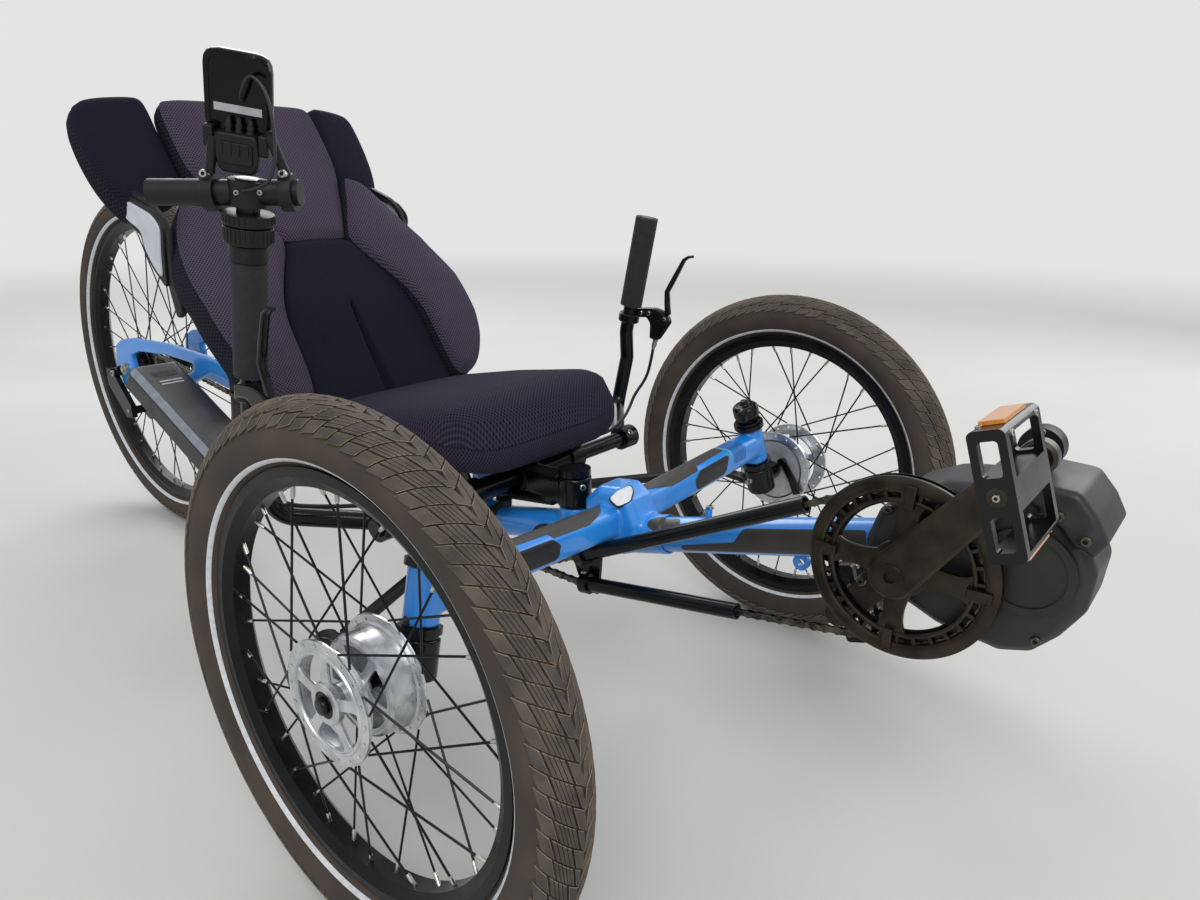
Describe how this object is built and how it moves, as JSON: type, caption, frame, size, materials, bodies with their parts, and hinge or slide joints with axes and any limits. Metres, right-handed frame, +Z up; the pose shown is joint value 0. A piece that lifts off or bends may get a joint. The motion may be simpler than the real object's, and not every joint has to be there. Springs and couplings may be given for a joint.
{
  "type": "recumbent trike with electric assist",
  "caption": "Recumbent tadpole trike: two steered front wheels, a sprung rear wheel, padded seat, under-seat steering and a motor at the cranks.",
  "frame": {"origin": "on the floor under the middle of the bounding box", "axes": "+X forward, +Y to the rider's left, +Z up"},
  "size_m": [2.0364, 0.8946, 0.816],
  "materials": {
    "azure_frame": "gloss paint",
    "black_frame": "satin powder coat",
    "tyre_rubber": "dusty moulded rubber",
    "black_rim": "anodised black",
    "silver_hub": "polished and brushed",
    "black_hub": "anodised black",
    "steel_chain": "oiled steel",
    "graphite_crank": "satin graphite",
    "black_plastic": "fine moulded grain",
    "amber_reflector": "prismatic",
    "foam_grip": "closed-cell foam",
    "spring_rubber": "moulded elastomer",
    "navy_mesh": "three-layer spacer mesh",
    "purple_mesh": "three-layer spacer mesh",
    "black_mesh": "three-layer spacer mesh"
  },
  "bodies": {
    "frame": {"cross_frame": "azure_frame", "headset_cups": "black_frame", "boom": "azure_frame", "fold_hinge": "black_frame", "rear_frame": "azure_frame", "swingarm": "azure_frame", "rubber_spring": "spring_rubber", "rear_axle": "steel_chain", "motor": "black_plastic", "motor_disc": "black_plastic", "lamp_mount": "black_plastic", "chain": "steel_chain", "chain_tubes": "black_plastic", "idler": "black_plastic", "idler_bracket": "black_frame", "derailleur": "black_plastic", "battery": "black_plastic", "battery_mount": "black_frame", "seat_back_cushion": "navy_mesh", "seat_base_cushion": "purple_mesh", "seat_bolsters": "purple_mesh", "seat_wings": "black_mesh", "seat_pan": "black_plastic", "seat_frame": "black_frame"},
    "knuckle_left": {"knuckle_left": "black_frame", "brake_plate_left": "silver_hub", "brake_cam_left": "black_frame"},
    "knuckle_right": {"knuckle_right": "black_frame", "brake_plate_right": "silver_hub", "brake_cam_right": "black_frame"},
    "wheel_left": {"tyre_left": "tyre_rubber", "rim_left": "black_rim", "hub_left": "silver_hub"},
    "wheel_right": {"tyre_right": "tyre_rubber", "rim_right": "black_rim", "hub_right": "silver_hub"},
    "wheel_rear": {"tyre_rear": "tyre_rubber", "rim_rear": "black_rim", "hub_rear": "black_hub", "cassette": "steel_chain"},
    "handlebar": {"handlebar_stem": "black_frame", "cross_bar": "black_frame", "risers": "black_frame", "grips": "foam_grip", "brake_levers": "black_frame", "ring_pods": "black_frame", "accessory_bar": "black_frame", "display": "black_plastic", "brake_cables": "black_plastic", "display_lead": "black_plastic"},
    "tie_rod_left": {"tie_rod_left": "black_frame"},
    "tie_rod_right": {"tie_rod_right": "black_frame"},
    "crank": {"crank_arms": "graphite_crank", "chainring": "graphite_crank"},
    "pedal_left": {"pedal_left": "black_plastic", "pedal_reflectors_left": "amber_reflector"},
    "pedal_right": {"pedal_right": "black_plastic", "pedal_reflectors_right": "amber_reflector"}
  },
  "joints": [
    {"name": "steer_left", "type": "hinge", "parent": "frame", "child": "knuckle_left", "pos_m": [0.49794, 0.31904, 0.3225], "axis": [-0.1008, -0.2909, 0.9514], "range_deg": [-24, 24]},
    {"name": "steer_right", "type": "hinge", "parent": "frame", "child": "knuckle_right", "pos_m": [0.49794, -0.31904, 0.3225], "axis": [-0.1008, 0.2909, 0.9514], "range_deg": [-24.1, 24.1]},
    {"name": "handlebar_turn", "type": "hinge", "parent": "frame", "child": "handlebar", "pos_m": [0.417, 0, 0.32], "axis": [0, 0, 1], "range_deg": [-25.3, 25.3]},
    {"name": "tie_rod_left_swing", "type": "hinge", "parent": "handlebar", "child": "tie_rod_left", "pos_m": [0.317, 0.03, 0.288], "axis": [0.1003, 0.0038, 0.995], "range_deg": [-26.8, 26.8]},
    {"name": "tie_rod_right_swing", "type": "hinge", "parent": "handlebar", "child": "tie_rod_right", "pos_m": [0.317, -0.03, 0.288], "axis": [0.1003, -0.0038, 0.995], "range_deg": [-26.8, 26.8]},
    {"name": "roll_left", "type": "hinge", "parent": "knuckle_left", "child": "wheel_left", "pos_m": [0.507, 0.40725, 0.268], "axis": [0, 1, 0], "continuous": true},
    {"name": "roll_right", "type": "hinge", "parent": "knuckle_right", "child": "wheel_right", "pos_m": [0.507, -0.40725, 0.268], "axis": [0, 1, 0], "continuous": true},
    {"name": "roll_rear", "type": "hinge", "parent": "frame", "child": "wheel_rear", "pos_m": [-0.681, 0, 0.3376], "axis": [0, 1, 0], "continuous": true},
    {"name": "crank_turn", "type": "hinge", "parent": "frame", "child": "crank", "pos_m": [0.859, 0, 0.362], "axis": [0, 1, 0], "continuous": true},
    {"name": "pedal_left_turn", "type": "hinge", "parent": "crank", "child": "pedal_left", "pos_m": [0.75551, 0.146, 0.22713], "axis": [0, 1, 0], "continuous": true},
    {"name": "pedal_right_turn", "type": "hinge", "parent": "crank", "child": "pedal_right", "pos_m": [0.96249, -0.146, 0.49687], "axis": [0, 1, 0], "continuous": true}
  ],
  "couplings": [
    {"joint": "steer_right", "follows": "steer_left", "ratio": 1},
    {"joint": "handlebar_turn", "follows": "steer_left", "ratio": 1.0503},
    {"joint": "tie_rod_left_swing", "follows": "steer_left", "ratio": -1.1093},
    {"joint": "tie_rod_right_swing", "follows": "steer_left", "ratio": -1.1093}
  ]
}
